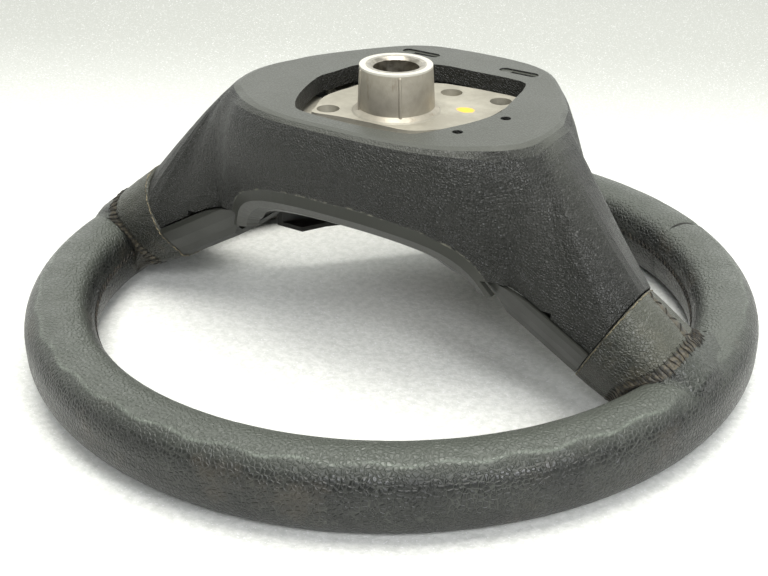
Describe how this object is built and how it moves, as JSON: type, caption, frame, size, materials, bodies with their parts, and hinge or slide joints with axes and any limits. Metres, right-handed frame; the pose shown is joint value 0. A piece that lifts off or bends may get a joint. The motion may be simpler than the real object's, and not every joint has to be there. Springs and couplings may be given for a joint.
{
  "type": "car steering wheel",
  "caption": "Leather-wrapped three-spoke car steering wheel with deep rear cover, cast skeleton and splined hub, shown face down without its airbag.",
  "frame": {"origin": "on the hub axis, at the level of the lowest line of the rim, on which the wheel lies face down", "axes": "+Z along the hub bore toward the steering column, -Y to 12 o'clock of the wheel, X along the side spokes"},
  "size_m": [0.37, 0.37, 0.144],
  "materials": {
    "cast_alloy": "blasted die casting",
    "bush_steel": "turned and broached",
    "rod_steel": "drawn rod",
    "pur_foam": "moulded polyurethane foam",
    "rim_leather": "grained, semi-gloss, worn",
    "cuff_leather": "coarse grained, creased",
    "cover_plastic": "fine leather grain",
    "trim_plastic": "smooth satin",
    "screw_steel": "black zinc",
    "spring_steel": "drawn wire"
  },
  "bodies": {
    "root": {"armature": "cast_alloy", "hub_bush": "bush_steel", "rim_rod": "rod_steel", "rim_foam": "pur_foam", "upper_leather": "rim_leather", "lower_leather": "rim_leather", "left_cuff": "cuff_leather", "right_cuff": "cuff_leather", "lower_cuff": "cuff_leather", "rear_cover": "cover_plastic", "left_spoke_trim": "trim_plastic", "right_spoke_trim": "trim_plastic", "lower_trim": "trim_plastic", "cover_screws": "screw_steel", "left_latch_spring": "spring_steel", "right_latch_spring": "spring_steel"}
  },
  "joints": []
}
